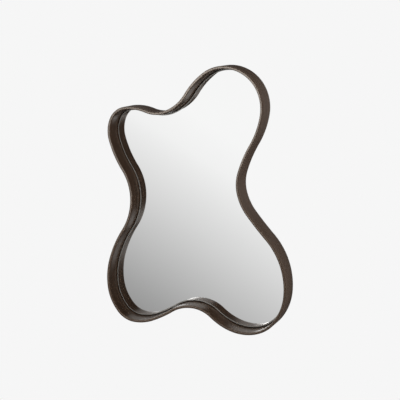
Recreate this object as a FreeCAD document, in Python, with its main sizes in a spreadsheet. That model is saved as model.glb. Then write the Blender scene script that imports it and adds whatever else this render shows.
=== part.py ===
"""Irregular wall mirror: a deep bent-wood hoop of four lobes and four bays, with the glass set back in it.

Frame: millimetres. X runs along the wall, to the right as seen from the front, Z is up, and the front faces -Y.
The origin lies on the wall, behind the middle of the mirror. A depth is counted from the wall towards -Y.
A point of the mirror's own plane is a complex number, x + z*1j.
"""
import FreeCAD, Part
import cmath
import math
import os

import Sketcher

V = FreeCAD.Vector

# Driving dimensions, in millimetres and degrees.
SIZES = {
    # the bent strip
    "hoop_depth": 62.0,
    "hoop_wall": 8.0,
    "front_bevel": 2.2,
    "rear_bevel": 1.8,
    # the pack of layers inside it, from the rear edge of the strip forwards
    "rear_recess": 5.0,
    "board_thick": 5.0,
    "board_gap": 0.5,
    "tape_thick": 0.8,
    "tape_width": 25.0,
    "film_thick": 0.2,
    "film_inset": 2.0,
    "glass_thick": 4.0,
    "glass_gap": 2.5,
    "glass_arris": 1.2,
    # angle clips between the board and the strip
    "clip_width": 12.0,
    "clip_thick": 0.8,
    "clip_foot": 14.0,
    "clip_gap": 0.3,
    "clip_edge": 0.6,
    # screws of the clips
    "clip_screw_shank": 1.0,
    "clip_screw_head": 1.7,
    "clip_screw_dome": 0.8,
    "clip_screw_grip": 4.2,
    "clip_hole_play": 0.15,
    "clip_screw_reach": 9.0,
    # strap hangers and their rings
    "hanger_pitch": 220.0,
    "hanger_middle": -10.0,
    "hanger_level": 150.0,
    "strap_width": 14.0,
    "strap_thick": 1.0,
    "strap_length": 32.0,
    "ring_wire": 1.1,
    "ring_play": 0.06,
    "ring_half_width": 10.5,
    "ring_drop": 10.0,
    "ring_clearance": 0.3,
    # screws of the hangers
    "hanger_screw_shank": 1.5,
    "hanger_screw_head": 2.8,
    "hanger_screw_dome": 1.2,
    "hanger_screw_grip": 5.0,
    "hanger_hole_play": 0.2,
    "hanger_screw_drop": 26.5,
}

# Guide points of the strip's centre line, anticlockwise as seen from the front.
# The strip is drawn a sixth of the way from each point towards each neighbour.
GUIDES = {
    "right_neck": (111.0, 74.0),
    "right_shoulder": (231.0, 254.0),
    "crown_right": (164.0, 377.0),
    "crown_left": (23.0, 388.0),
    "top_bay": (-72.0, 204.0),
    "ear_top": (-228.0, 286.0),
    "ear_side": (-300.0, 170.0),
    "left_waist": (-142.0, -10.0),
    "left_hip": (-302.0, -197.0),
    "left_foot": (-251.0, -384.0),
    "left_toe": (-135.0, -382.0),
    "bottom_bay": (4.0, -275.0),
    "right_toe": (101.0, -389.0),
    "right_foot": (269.0, -359.0),
    "right_hip": (290.0, -145.0),
    "right_waist": (147.0, -27.0),
}

# Strips of foam tape: distance from the middle, lower end, upper end.
TAPES = {
    "tape_left_low": (-203.0, -300.0, -130.0),
    "tape_left_high": (-212.0, 115.0, 215.0),
    "tape_inner_left": (-105.0, -320.0, 200.0),
    "tape_middle": (0.0, -265.0, 290.0),
    "tape_inner_right": (92.0, -320.0, 330.0),
    "tape_right_low": (200.0, -300.0, -130.0),
    "tape_right_high": (158.0, 180.0, 310.0),
}

# Each clip sits where the strip turns from a bay into a lobe, half way from the named guide to the next.
CLIPS = {
    "angle_clip_neck": "right_neck",
    "angle_clip_crown": "crown_left",
    "angle_clip_ear_side": "ear_side",
    "angle_clip_left_hip": "left_waist",
    "angle_clip_left_toe": "left_toe",
    "angle_clip_right_hip": "right_hip",
}

STRAIGHT = 1e-6
FLAT = 1e-4

doc = FreeCAD.newDocument("irregular_mirror")
sheet = doc.addObject("Spreadsheet::Sheet", "sizes")
nodes = []


def fill_sheet():
    """Write every driving dimension to the sheet, one row each, with its name as alias."""
    rows = dict(SIZES)
    for name, (x, z) in GUIDES.items():
        rows[name + "_x"] = x
        rows[name + "_z"] = z
    for name, (x, low, high) in TAPES.items():
        rows[name + "_place"] = x
        rows[name + "_from"] = low
        rows[name + "_to"] = high
    for row, (name, value) in enumerate(rows.items(), start=1):
        sheet.set(f"A{row}", name)
        sheet.set(f"B{row}", str(value))
        sheet.setAlias(f"B{row}", name)
    doc.recompute()


def size(name):
    """Value of one cell."""
    return float(sheet.get(name))


def value_of(expression):
    """Value of an expression on the sheet's names, for a feature's first shape."""
    return float(sheet.evalExpression(expression))


def bind(thing, **properties):
    """Bind properties of a document object to expressions on the sheet's cells."""
    for name, expression in properties.items():
        thing.setExpression(name.replace("__", "."), expression)


def keep(thing, name):
    """Give a finished sub-part its label and list it for export."""
    thing.Label = name
    nodes.append(thing)
    return thing


# ---------------------------------------------------------------- the outline

def unit(vector):
    return vector / abs(vector)


def dot(first, second):
    return (first * second.conjugate()).real


def tangent_reach(chord, first, second):
    """Length of the two equal tangents of the pair of arcs that joins two headings over a chord."""
    lean = dot(chord, first + second)
    bend = 2 * (1 - dot(first, second))
    if bend < STRAIGHT:
        return abs(chord) ** 2 / (2 * lean)
    return (math.sqrt(lean ** 2 + bend * abs(chord) ** 2) - lean) / bend


def half_spans():
    """Two tangent arcs per guide point, each as start, heading at the start and end."""
    guides = [complex(size(name + "_x"), size(name + "_z")) for name in GUIDES]
    following = guides[1:] + guides[:1]
    previous = guides[-1:] + guides[:-1]
    knots = [(a + 4 * b + c) / 6 for a, b, c in zip(previous, guides, following)]
    headings = [unit(c - a) for a, c in zip(previous, following)]
    spans = []
    for index, start in enumerate(knots):
        heading = headings[index]
        end = knots[(index + 1) % len(knots)]
        end_heading = headings[(index + 1) % len(knots)]
        reach = tangent_reach(end - start, heading, end_heading)
        joint = (start + end + reach * (heading - end_heading)) / 2
        joint_heading = unit(joint - start) ** 2 / heading
        spans.append((start, heading, joint))
        spans.append((joint, joint_heading, end))
    return spans


def outline(inset):
    """Start, middle and end point of each arc of the outline that lies inset inside the centre line."""
    arcs = []
    for start, heading, end in half_spans():
        lean = cmath.phase((end - start) / heading)
        rise = heading * cmath.exp(0.5j * lean) * abs(end - start) / (2 * math.cos(lean / 2))
        stations = ((start, 0), (start + rise, lean), (end, 2 * lean))
        arcs.append([point + 1j * inset * heading * cmath.exp(1j * turn) for point, turn in stations])
    return arcs


def new_sketch(body, name, role, depth="0"):
    """Sketch on one of the body's own planes, moved along the plane's normal by depth."""
    plane = [feature for feature in body.Origin.OriginFeatures if feature.Role == role][0]
    sketch = body.newObject("Sketcher::SketchObject", name)
    sketch.AttachmentSupport = [(plane, "")]
    sketch.MapMode = "FlatFace"
    bind(sketch, AttachmentOffset__Base__z=depth)
    return sketch


def draw_outline(sketch, inset):
    """Draw the closed chain of tangent arcs at an inset from the centre line and fix it."""
    for points in outline(inset):
        arc = Part.Arc(*[V(point.real, point.imag, 0) for point in points])
        index = sketch.addGeometry(arc, False)
        sketch.addConstraint(Sketcher.Constraint("Block", index))


def draw_polygon(sketch, corners):
    """Draw a closed polygon whose corners are pairs of expressions on the sheet's names."""
    points = [V(value_of(x), value_of(y), 0) for x, y in corners]
    count = len(points)
    for index in range(count):
        sketch.addGeometry(Part.LineSegment(points[index], points[(index + 1) % count]), False)
    for index in range(count):
        following = (index + 1) % count
        sketch.addConstraint(Sketcher.Constraint("Coincident", index, 2, following, 1))
    for index, (x, y) in enumerate(corners):
        across = Sketcher.Constraint("DistanceX", -1, 1, index, 1, points[index].x)
        upwards = Sketcher.Constraint("DistanceY", -1, 1, index, 1, points[index].y)
        sketch.setExpression(f"Constraints[{sketch.addConstraint(across)}]", x)
        sketch.setExpression(f"Constraints[{sketch.addConstraint(upwards)}]", y)


def draw_circle(sketch, x, y, radius):
    """Draw a circle whose centre and radius are expressions on the sheet's names."""
    centre = V(value_of(x), value_of(y), 0)
    index = sketch.addGeometry(Part.Circle(centre, V(0, 0, 1), value_of(radius)), False)
    across = Sketcher.Constraint("DistanceX", -1, 1, index, 3, centre.x)
    upwards = Sketcher.Constraint("DistanceY", -1, 1, index, 3, centre.y)
    width = Sketcher.Constraint("Radius", index, value_of(radius))
    sketch.setExpression(f"Constraints[{sketch.addConstraint(across)}]", x)
    sketch.setExpression(f"Constraints[{sketch.addConstraint(upwards)}]", y)
    sketch.setExpression(f"Constraints[{sketch.addConstraint(width)}]", radius)


def pad(body, sketch, length, both_ways=False):
    feature = body.newObject("PartDesign::Pad", sketch.Name + "_pad")
    feature.Profile = sketch
    feature.Midplane = both_ways
    bind(feature, Length=length)
    sketch.Visibility = False
    return feature


def edges_at_depth(feature, depth):
    """Names of the edges of a feature that lie wholly at one depth."""
    names = []
    for index, edge in enumerate(feature.Shape.Edges, start=1):
        box = edge.BoundBox
        if abs(box.YMin + depth) < FLAT and abs(box.YMax + depth) < FLAT:
            names.append(f"Edge{index}")
    return names


def bevel_edges(body, feature, depth, bevel):
    """Bevel every edge of a feature at one depth."""
    bevelled = body.newObject("PartDesign::Chamfer", feature.Name + "_bevelled")
    bevelled.Base = (feature, edges_at_depth(feature, depth))
    bind(bevelled, Size=bevel)
    doc.recompute()
    return bevelled


# ---------------------------------------------------------------- depths from the wall

BOARD_BACK = "sizes.rear_recess"
BOARD_FRONT = BOARD_BACK + " + sizes.board_thick"
TAPE_FRONT = BOARD_FRONT + " + sizes.tape_thick"
FILM_FRONT = TAPE_FRONT + " + sizes.film_thick"
GLASS_FRONT = FILM_FRONT + " + sizes.glass_thick"


# ---------------------------------------------------------------- hoop, glass and layers

def build_hoop_strip():
    """The bent strip with its front and rear edges bevelled."""
    body = doc.addObject("PartDesign::Body", "hoop_strip")
    sketch = new_sketch(body, "hoop_section", "XZ_Plane")
    draw_outline(sketch, -size("hoop_wall") / 2)
    draw_outline(sketch, size("hoop_wall") / 2)
    strip = pad(body, sketch, "sizes.hoop_depth")
    doc.recompute()
    front = bevel_edges(body, strip, size("hoop_depth"), "sizes.front_bevel")
    bevel_edges(body, front, 0.0, "sizes.rear_bevel")
    return body


def build_layer(name, inset, depth, thickness):
    """A flat layer that follows the outline at an inset from the centre line."""
    body = doc.addObject("PartDesign::Body", name)
    sketch = new_sketch(body, name + "_outline", "XZ_Plane", depth)
    draw_outline(sketch, inset)
    layer = pad(body, sketch, thickness)
    doc.recompute()
    return body, layer


def build_glass():
    """The mirror glass, with a ground arris along its front edge."""
    inset = size("hoop_wall") / 2 + size("glass_gap")
    body, slab = build_layer("mirror_glass", inset, FILM_FRONT, "sizes.glass_thick")
    bevel_edges(body, slab, value_of(GLASS_FRONT), "sizes.glass_arris")
    return keep(body, "mirror_glass")


def build_film():
    """The safety film on the back of the glass."""
    inset = size("hoop_wall") / 2 + size("glass_gap") + size("film_inset")
    body, _ = build_layer("safety_film", inset, TAPE_FRONT, "sizes.film_thick")
    return keep(body, "safety_film")


def build_tape(name):
    """One strip of double-sided foam tape between the film and the board."""
    strip = doc.addObject("Part::Box", name)
    bind(
        strip,
        Length="sizes.tape_width",
        Width="sizes.tape_thick",
        Height=f"sizes.{name}_to - sizes.{name}_from",
        Placement__Base__x=f"sizes.{name}_place - sizes.tape_width / 2",
        Placement__Base__y=f"-({TAPE_FRONT})",
        Placement__Base__z=f"sizes.{name}_from",
    )
    return keep(strip, name)


def build_board():
    """The back board, with pilot holes for the screws of the clips and hangers."""
    body, _ = build_layer(
        "board_panel", size("hoop_wall") / 2 + size("board_gap"), BOARD_BACK, "sizes.board_thick"
    )
    drills = [drill_clip_foot(name) for name in CLIPS]
    drills.extend(drill_hanger(side) for side in HANGERS)
    return keep(cut_away("back_board", body, drills), "back_board")


def cut_away(name, base, tools):
    """Subtract tools from a base."""
    gang = doc.addObject("Part::Compound", name + "_drills")
    gang.Links = tools
    result = doc.addObject("Part::Cut", name)
    result.Base = base
    result.Tool = gang
    return result


# ---------------------------------------------------------------- angle clips

def clip_station(clip):
    """Placement on the strip's inner wall: local Z points into the mirror, local Y away from the room."""
    index = 2 * list(GUIDES).index(CLIPS[clip]) + 1
    point, heading, _ = half_spans()[index]
    inward = 1j * heading
    foot = point + inward * size("hoop_wall") / 2
    turn = FreeCAD.Rotation(V(0, 1, 0), math.degrees(math.atan2(inward.real, inward.imag)))
    return FreeCAD.Placement(V(foot.real, 0, foot.imag), turn)


WALL_SIDE = "sizes.clip_gap"
ROOM_SIDE = "sizes.clip_gap + sizes.clip_thick"
FOOT_TIP = "sizes.clip_gap + sizes.clip_foot"
FOOT_BACK = "-(sizes.rear_recess - sizes.clip_thick)"
UPSTAND_HOLE = "-(sizes.clip_edge + sizes.clip_screw_head)"
FOOT_HOLE = "sizes.clip_screw_reach"


def build_clip(name):
    """A folded steel angle: the foot lies on the board, the upstand against the strip."""
    body = doc.addObject("PartDesign::Body", name)
    body.Placement = clip_station(name)
    section = new_sketch(body, name + "_section", "YZ_Plane")
    draw_polygon(section, [
        ("-sizes.rear_recess", WALL_SIDE),
        ("-sizes.rear_recess", FOOT_TIP),
        (FOOT_BACK, FOOT_TIP),
        (FOOT_BACK, ROOM_SIDE),
        ("-sizes.clip_edge", ROOM_SIDE),
        ("-sizes.clip_edge", WALL_SIDE),
    ])
    pad(body, section, "sizes.clip_width", both_ways=True)
    doc.recompute()
    bore = "sizes.clip_screw_shank + sizes.clip_hole_play"
    upstand_hole = new_sketch(body, name + "_upstand_hole", "XY_Plane")
    draw_circle(upstand_hole, "0", UPSTAND_HOLE, bore)
    pocket(body, upstand_hole, ROOM_SIDE + " + sizes.clip_thick")
    foot_hole = new_sketch(body, name + "_foot_hole", "XZ_Plane")
    draw_circle(foot_hole, "0", FOOT_HOLE, bore)
    pocket(body, foot_hole, "sizes.rear_recess + sizes.clip_thick")
    return keep(body, name)


def pocket(body, sketch, depth):
    """Cut a sketch through the solid, both ways from its plane."""
    feature = body.newObject("PartDesign::Pocket", sketch.Name + "_cut")
    feature.Profile = sketch
    feature.Midplane = True
    bind(feature, Length=f"2 * ({depth})")
    sketch.Visibility = False
    return feature


def pilot(name, radius, length):
    """An eight-sided pin along its own Z, which stands for a screw's thread in its pilot hole."""
    pin = doc.addObject("Part::Prism", name)
    pin.Polygon = 8
    bind(pin, Circumradius=radius, Height=length)
    return pin


def drill(name, radius, length, placement):
    """The tool that removes a pilot hole."""
    tool = pilot(name, radius, length)
    tool.Placement = placement
    return tool


def upstand_screw(clip):
    """Seat of the screw in a clip's upstand: local Z runs from the strip towards the head."""
    seat = FreeCAD.Placement(V(0, value_of(UPSTAND_HOLE), value_of(ROOM_SIDE)), FreeCAD.Rotation())
    return clip_station(clip).multiply(seat)


def foot_screw(clip):
    """Seat of the screw in a clip's foot: local Z runs from the board towards the head."""
    facing_wall = FreeCAD.Rotation(V(1, 0, 0), -90)
    seat = FreeCAD.Placement(V(0, value_of(FOOT_BACK), value_of(FOOT_HOLE)), facing_wall)
    return clip_station(clip).multiply(seat)


def sunk(placement, depth):
    """The placement moved back along its own Z."""
    return placement.multiply(FreeCAD.Placement(V(0, 0, -depth), FreeCAD.Rotation()))


def drill_clip_wall(clip):
    place = sunk(upstand_screw(clip), size("clip_screw_grip"))
    return drill(clip + "_wall_drill", "sizes.clip_screw_shank", "sizes.clip_screw_grip", place)


def drill_clip_foot(clip):
    place = sunk(foot_screw(clip), size("clip_screw_grip"))
    return drill(clip + "_board_drill", "sizes.clip_screw_shank", "sizes.clip_screw_grip", place)


# ---------------------------------------------------------------- screws

def build_screw_master(kind):
    """One pan-head screw, its seat at the origin and its head along +Z, for every copy of its kind."""
    shank = pilot(kind + "_stem", f"sizes.{kind}_shank", f"sizes.{kind}_grip")
    bind(shank, Placement__Base__z=f"-sizes.{kind}_grip")
    head = doc.addObject("Part::Cone", kind + "_pan")
    bind(
        head,
        Radius1=f"sizes.{kind}_head",
        Radius2=f"sizes.{kind}_head * 0.7",
        Height=f"sizes.{kind}_dome",
    )
    return fuse(kind + "_master", [shank, head])


def build_screws(name, master, seats):
    """A group of equal screws, each a solid of its own, in one node."""
    copies = []
    for order, seat in enumerate(seats, start=1):
        link = doc.addObject("App::Link", f"{name}_{order}")
        link.LinkedObject = master
        link.Placement = seat
        copies.append(link)
    group = doc.addObject("Part::Compound", name)
    group.Links = copies
    return keep(group, name)


# ---------------------------------------------------------------- hangers

HANGERS = {"left": -1, "right": 1}
STRAP_REAR = "sizes.rear_recess - sizes.strap_thick"
RING_DEPTH = STRAP_REAR + " - sizes.ring_clearance - sizes.ring_wire"
EYE = "sizes.ring_wire + sizes.ring_play"
ROLL = EYE + " + sizes.strap_thick"


def hanger_place(side):
    """Placement of a hanger's ring axis: local X along the axis, local Z up."""
    x = size("hanger_middle") + HANGERS[side] * size("hanger_pitch") / 2
    return FreeCAD.Placement(V(x, -value_of(RING_DEPTH), size("hanger_level")), FreeCAD.Rotation())


def build_strap(side):
    """A strap of sheet steel, rolled round the ring's bar at its top and screwed to the board."""
    name = f"hanger_strap_{side}"
    body = doc.addObject("PartDesign::Body", name)
    body.Placement = hanger_place(side)
    section = new_sketch(body, name + "_section", "YZ_Plane")
    board_face = f"({RING_DEPTH}) - sizes.rear_recess"
    draw_polygon(section, [
        (board_face, "-sizes.strap_length"),
        (board_face, "0"),
        (f"{board_face} + sizes.strap_thick", "0"),
        (f"{board_face} + sizes.strap_thick", "-sizes.strap_length"),
    ])
    pad(body, section, "sizes.strap_width", both_ways=True)
    roll = new_sketch(body, name + "_roll", "YZ_Plane")
    draw_circle(roll, "0", "0", ROLL)
    pad(body, roll, "sizes.strap_width", both_ways=True)
    eye = new_sketch(body, name + "_eye", "YZ_Plane")
    draw_circle(eye, "0", "0", EYE)
    pocket(body, eye, "sizes.strap_width")
    hole = new_sketch(body, name + "_hole", "XZ_Plane")
    draw_circle(hole, "0", "-sizes.hanger_screw_drop", "sizes.hanger_screw_shank + sizes.hanger_hole_play")
    pocket(body, hole, "sizes.rear_recess")
    doc.recompute()
    return keep(body, name)


def hanger_screw(side):
    """Seat of a hanger's screw: local Z runs from the board towards the head."""
    seat = V(0, value_of(f"({RING_DEPTH}) - ({STRAP_REAR})"), -size("hanger_screw_drop"))
    facing_wall = FreeCAD.Rotation(V(1, 0, 0), -90)
    return hanger_place(side).multiply(FreeCAD.Placement(seat, facing_wall))


def drill_hanger(side):
    place = sunk(hanger_screw(side), size("hanger_screw_grip"))
    return drill(f"hanger_{side}_drill", "sizes.hanger_screw_shank", "sizes.hanger_screw_grip", place)


def ring_blank(name, half_width, rise):
    """A flat D: straight down from a level above the ring's axis, and round below."""
    straight = doc.addObject("Part::Box", name + "_straight")
    bind(
        straight,
        Length=f"2 * ({half_width})",
        Width="2 * sizes.ring_wire",
        Height=f"{rise} + sizes.ring_drop",
        Placement__Base__x=f"-({half_width})",
        Placement__Base__y="-sizes.ring_wire",
        Placement__Base__z="-sizes.ring_drop",
    )
    bow = doc.addObject("Part::Cylinder", name + "_bow")
    bow.Placement = FreeCAD.Placement(V(0, 0, 0), FreeCAD.Rotation(V(1, 0, 0), -90))
    bow.Angle = 180
    bind(
        bow,
        Radius=half_width,
        Height="2 * sizes.ring_wire",
        Placement__Base__y="-sizes.ring_wire",
        Placement__Base__z="-sizes.ring_drop",
    )
    return fuse(name, [straight, bow])


def fuse(name, pieces):
    """Join pieces to one solid."""
    result = doc.addObject("Part::MultiFuse", name)
    result.Shapes = pieces
    return result


def build_ring(side):
    """The D-ring, hanging down from its bar: a bail of square section with a round bar across its top."""
    name = f"d_ring_{side}"
    outside = ring_blank(name + "_outside", "sizes.ring_half_width + sizes.ring_wire", "sizes.ring_wire")
    inside = ring_blank(name + "_inside", "sizes.ring_half_width - sizes.ring_wire", "2 * sizes.ring_wire")
    bail = cut_away(name + "_bail", outside, [inside])
    bar = doc.addObject("Part::Cylinder", name + "_bar")
    bar.Placement = FreeCAD.Placement(V(0, 0, 0), FreeCAD.Rotation(V(0, 1, 0), 90))
    bind(
        bar,
        Radius="sizes.ring_wire",
        Height="2 * sizes.ring_half_width",
        Placement__Base__x="-sizes.ring_half_width",
    )
    ring = fuse(name, [bail, bar])
    ring.Placement = hanger_place(side)
    return keep(ring, name)


# ---------------------------------------------------------------- assembly and export

def build():
    """Build every sub-part."""
    fill_sheet()
    strip = build_hoop_strip()
    wall_drills = [drill_clip_wall(name) for name in CLIPS]
    keep(cut_away("frame_hoop", strip, wall_drills), "frame_hoop")
    build_glass()
    build_film()
    for name in TAPES:
        build_tape(name)
    build_board()
    for name in CLIPS:
        build_clip(name)
    clip_screw = build_screw_master("clip_screw")
    build_screws("clip_screws_to_hoop", clip_screw, [upstand_screw(name) for name in CLIPS])
    build_screws("clip_screws_to_board", clip_screw, [foot_screw(name) for name in CLIPS])
    for side in HANGERS:
        build_strap(side)
        build_ring(side)
    hanger_screw_master = build_screw_master("hanger_screw")
    seats = [hanger_screw(side) for side in HANGERS]
    build_screws("hanger_screws", hanger_screw_master, seats)
    doc.recompute()


def check():
    """Stop if any object failed or any sub-part has no valid solid."""
    for thing in doc.Objects:
        if "Invalid" in thing.State or "Error" in thing.State:
            raise RuntimeError(f"{thing.Label} failed: {thing.State}")
    for node in nodes:
        if node.Shape.isNull() or not node.Shape.isValid():
            raise RuntimeError(f"{node.Label} has no valid shape")


def export():
    """Write one STEP file per sub-part."""
    os.makedirs("parts", exist_ok=True)
    for node in nodes:
        node.Shape.exportStep(f"parts/{node.Label}.step")
        box = node.Shape.BoundBox
        print(f"{node.Label}: {len(node.Shape.Solids)} solid(s), {node.Shape.Volume:.0f} mm3, "
              f"{box.XLength:.1f} x {box.YLength:.1f} x {box.ZLength:.1f}")


build()
check()
export()
print(f"mirror face {size('hoop_depth') - value_of(GLASS_FRONT):.1f} mm behind the hoop's front edge")
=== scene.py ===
"""Visual model of the irregular wall mirror, in metres.

X runs along the wall, to the right as seen from the front, Z is up, and the front faces -Y. The wall is the
plane y = 0. A point of the mirror's own plane is a complex number, x + z*1j, and a depth is counted from the
wall.
"""
import logging
import math
from dataclasses import dataclass, field
from enum import Enum

import bpy
import numpy as np
from mathutils import Matrix


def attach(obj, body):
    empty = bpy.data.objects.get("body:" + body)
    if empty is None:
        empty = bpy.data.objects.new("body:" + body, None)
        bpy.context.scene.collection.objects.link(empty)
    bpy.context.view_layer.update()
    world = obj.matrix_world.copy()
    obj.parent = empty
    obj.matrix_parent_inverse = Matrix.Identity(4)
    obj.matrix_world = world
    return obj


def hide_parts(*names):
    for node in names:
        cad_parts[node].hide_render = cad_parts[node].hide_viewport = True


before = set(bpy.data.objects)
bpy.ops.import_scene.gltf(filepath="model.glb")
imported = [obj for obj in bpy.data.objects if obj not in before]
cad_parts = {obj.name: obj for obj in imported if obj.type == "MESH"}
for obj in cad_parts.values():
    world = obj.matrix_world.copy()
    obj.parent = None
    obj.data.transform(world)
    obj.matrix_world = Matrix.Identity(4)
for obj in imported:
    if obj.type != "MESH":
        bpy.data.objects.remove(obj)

LOG = logging.getLogger("irregular_mirror")
MM = 0.001
X_AXIS, Y_AXIS, Z_AXIS = np.eye(3)

Colour = tuple[float, float, float]
Point = tuple[float, float, float]
Range = tuple[float, float]
Material = bpy.types.Material
Node = bpy.types.Node
Socket = bpy.types.NodeSocket

WHITE: Colour = (1.0, 1.0, 1.0)
BACKDROP: Colour = (0.922, 0.922, 0.922)
# The UV map of a piece: length along the bent strip, and girth round its section.
STRIP_MAP = "strip"


class Slot(Enum):
    """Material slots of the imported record."""

    WOOD = "stained_wood"
    MIRROR = "mirror_glass"
    FILM = "safety_film"
    FOAM = "foam_tape"
    BOARD = "back_board"
    ZINC = "zinc_steel"
    SCREW = "screw_steel"


class Body(Enum):
    """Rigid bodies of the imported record."""

    MIRROR = "mirror"
    LEFT_RING = "left_ring"
    RIGHT_RING = "right_ring"


# ---------------------------------------------------------------- shader helpers

class Tree:
    """A node tree that is filled in by short calls."""

    def __init__(self, tree: bpy.types.NodeTree) -> None:
        """Take over an empty node tree."""
        self.tree = tree

    def feed(self, node: Node, inputs: dict[str | int, object]) -> None:
        """Fill a node's inputs, by a link from an output socket or with a constant.

        Args:
            node: the node to fill.
            inputs: output sockets or constants, by input name or index.
        """
        for key, value in inputs.items():
            if isinstance(value, Socket):
                self.tree.links.new(value, node.inputs[key])
            else:
                node.inputs[key].default_value = value

    def add(self, kind: str, inputs: dict[str | int, object] | None = None, **settings: object) -> Node:
        """Add a node, set its properties and fill its inputs.

        Args:
            kind: the node's type name, without the common prefix.
            inputs: output sockets or constants, by input name or index.
            settings: properties of the node.

        Returns:
            The new node.
        """
        node = self.tree.nodes.new("ShaderNode" + kind)
        for name, value in settings.items():
            setattr(node, name, value)
        self.feed(node, inputs or {})
        return node

    def level(self, value: Socket, low: float, high: float, start: float = 0.0, end: float = 1.0) -> Socket:
        """Map a value from low and high to start and end, clamped."""
        return self.add("MapRange", {0: value, 1: low, 2: high, 3: start, 4: end}).outputs[0]

    def math(self, operation: str, first: object, second: object) -> Socket:
        """Combine two values by a named operation."""
        return self.add("Math", {0: first, 1: second}, operation=operation).outputs[0]

    def weigh(self, *parts: tuple[Socket, float]) -> Socket:
        """Add up values, each times its share.

        Args:
            parts: the values and their shares.

        Returns:
            The sum's socket.
        """
        total = 0.0
        for value, share in parts:
            total = self.math("ADD", total, self.math("MULTIPLY", value, share))
        return total

    def blend(self, factor: Socket, first: object, second: object) -> Socket:
        """Mix two colours.

        Args:
            factor: share of the second colour.
            first: colour at factor 0.
            second: colour at factor 1.

        Returns:
            The mixed colour's socket.
        """
        node = self.add("Mix", {0: factor}, data_type="RGBA")
        for index, colour in ((6, first), (7, second)):
            self.feed(node, {index: colour if isinstance(colour, Socket) else (*colour, 1.0)})
        return node.outputs[2]

    def stretch(self, vector: Socket, factors: Point) -> Socket:
        """Multiply each part of a vector by its own factor."""
        return self.add("VectorMath", {0: vector, 1: factors}, operation="MULTIPLY").outputs[0]

    def length(self, vector: Socket) -> Socket:
        """Length of a vector."""
        return self.add("VectorMath", {0: vector}, operation="LENGTH").outputs["Value"]

    def relief(self, height: Socket, strength: float, distance: float) -> Socket:
        """Normal that a fine relief gives."""
        bump = self.add("Bump", {"Height": height, "Strength": strength, "Distance": distance})
        return bump.outputs[0]

    def choose(self, factor: Socket, first: Socket, second: Socket) -> Socket:
        """Mix two shaders: the first at factor 0 and the second at factor 1."""
        return self.add("MixShader", {0: factor, 1: first, 2: second}).outputs[0]


def empty_nodes(owner: Material | bpy.types.World) -> bpy.types.NodeTree:
    """Switch the nodes of a material or world on and empty them.

    Args:
        owner: the material or world.

    Returns:
        Its node tree.
    """
    owner.use_nodes = True
    owner.node_tree.nodes.clear()
    return owner.node_tree


class Effect(Tree):
    """A shader effect that materials share: a node group with named inputs and outputs."""

    def __init__(self, name: str, inputs: dict[str, float], outputs: tuple[str, ...]) -> None:
        """Start the group.

        Args:
            name: the group's name.
            inputs: names and defaults of its numbers, besides the position.
            outputs: names of the numbers that it gives.
        """
        super().__init__(bpy.data.node_groups.new(name, "ShaderNodeTree"))
        sockets = self.tree.interface
        sockets.new_socket("Position", in_out="INPUT", socket_type="NodeSocketVector")
        for label, default in inputs.items():
            number = sockets.new_socket(label, in_out="INPUT", socket_type="NodeSocketFloat")
            number.default_value = default
        for label in outputs:
            sockets.new_socket(label, in_out="OUTPUT", socket_type="NodeSocketFloat")
        self.given = self.tree.nodes.new("NodeGroupInput").outputs
        self.results = self.tree.nodes.new("NodeGroupOutput")

    def give(self, **results: Socket) -> bpy.types.NodeTree:
        """Link the results to the group's outputs, and hand out the group."""
        self.feed(self.results, results)
        return self.tree


def make_grain_group() -> bpy.types.NodeTree:
    """Long grain: noise drawn out along the first axis in three widths, and short dark pores.

    Returns:
        The node group, which gives a tone, a pore mask and a height.
    """
    # Stretch of each width of grain, and its share of the tone.
    widths = (((1.2, 60.0, 1.0), 0.45), ((4.0, 260.0, 1.0), 0.33), ((9.0, 900.0, 1.0), 0.22))
    pore_stretch, pore_range, pore_depth = (45.0, 2100.0, 1.0), (0.62, 0.74), 0.5
    effect = Effect("long_grain", {"Fineness": 1.0}, ("Tone", "Pores", "Height"))
    scaled = effect.add("VectorMath", {0: effect.given["Position"], "Scale": effect.given["Fineness"]},
                        operation="SCALE").outputs[0]
    parts = []
    for stretch, share in widths:
        noise = {"Vector": effect.stretch(scaled, stretch), "Scale": 1.0, "Detail": 3.0, "Roughness": 0.55}
        parts.append((effect.add("TexNoise", noise).outputs[0], share))
    tone = effect.weigh(*parts)
    short = {"Vector": effect.stretch(scaled, pore_stretch), "Scale": 1.0, "Detail": 1.0}
    pores = effect.level(effect.add("TexNoise", short).outputs[0], *pore_range)
    height = effect.math("SUBTRACT", tone, effect.math("MULTIPLY", pores, pore_depth))
    return effect.give(Tone=tone, Pores=pores, Height=height)


def make_mottle_group() -> bpy.types.NodeTree:
    """Mottle: broad clouds, fine specks and a cell pattern, all from the position.

    Returns:
        The node group, which gives clouds, specks and cells, each from 0 to 1.
    """
    effect = Effect("mottle", {"Broad": 12.0, "Fine": 900.0}, ("Clouds", "Specks", "Cells"))
    position, broad, fine = (effect.given[label] for label in ("Position", "Broad", "Fine"))
    clouds = effect.add("TexNoise", {"Vector": position, "Scale": broad, "Detail": 4.0}).outputs[0]
    specks = effect.add("TexNoise", {"Vector": position, "Scale": fine, "Detail": 2.0}).outputs[0]
    cells = effect.add("TexVoronoi", {"Vector": position, "Scale": fine}).outputs["Color"]
    # Noise keeps near its middle, so a narrow range of it is spread out from 0 to 1.
    return effect.give(Clouds=effect.level(clouds, 0.3, 0.7), Specks=effect.level(specks, 0.35, 0.65),
                       Cells=effect.add("SeparateColor", {0: cells}).outputs[0])


# ---------------------------------------------------------------- finishes

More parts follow.
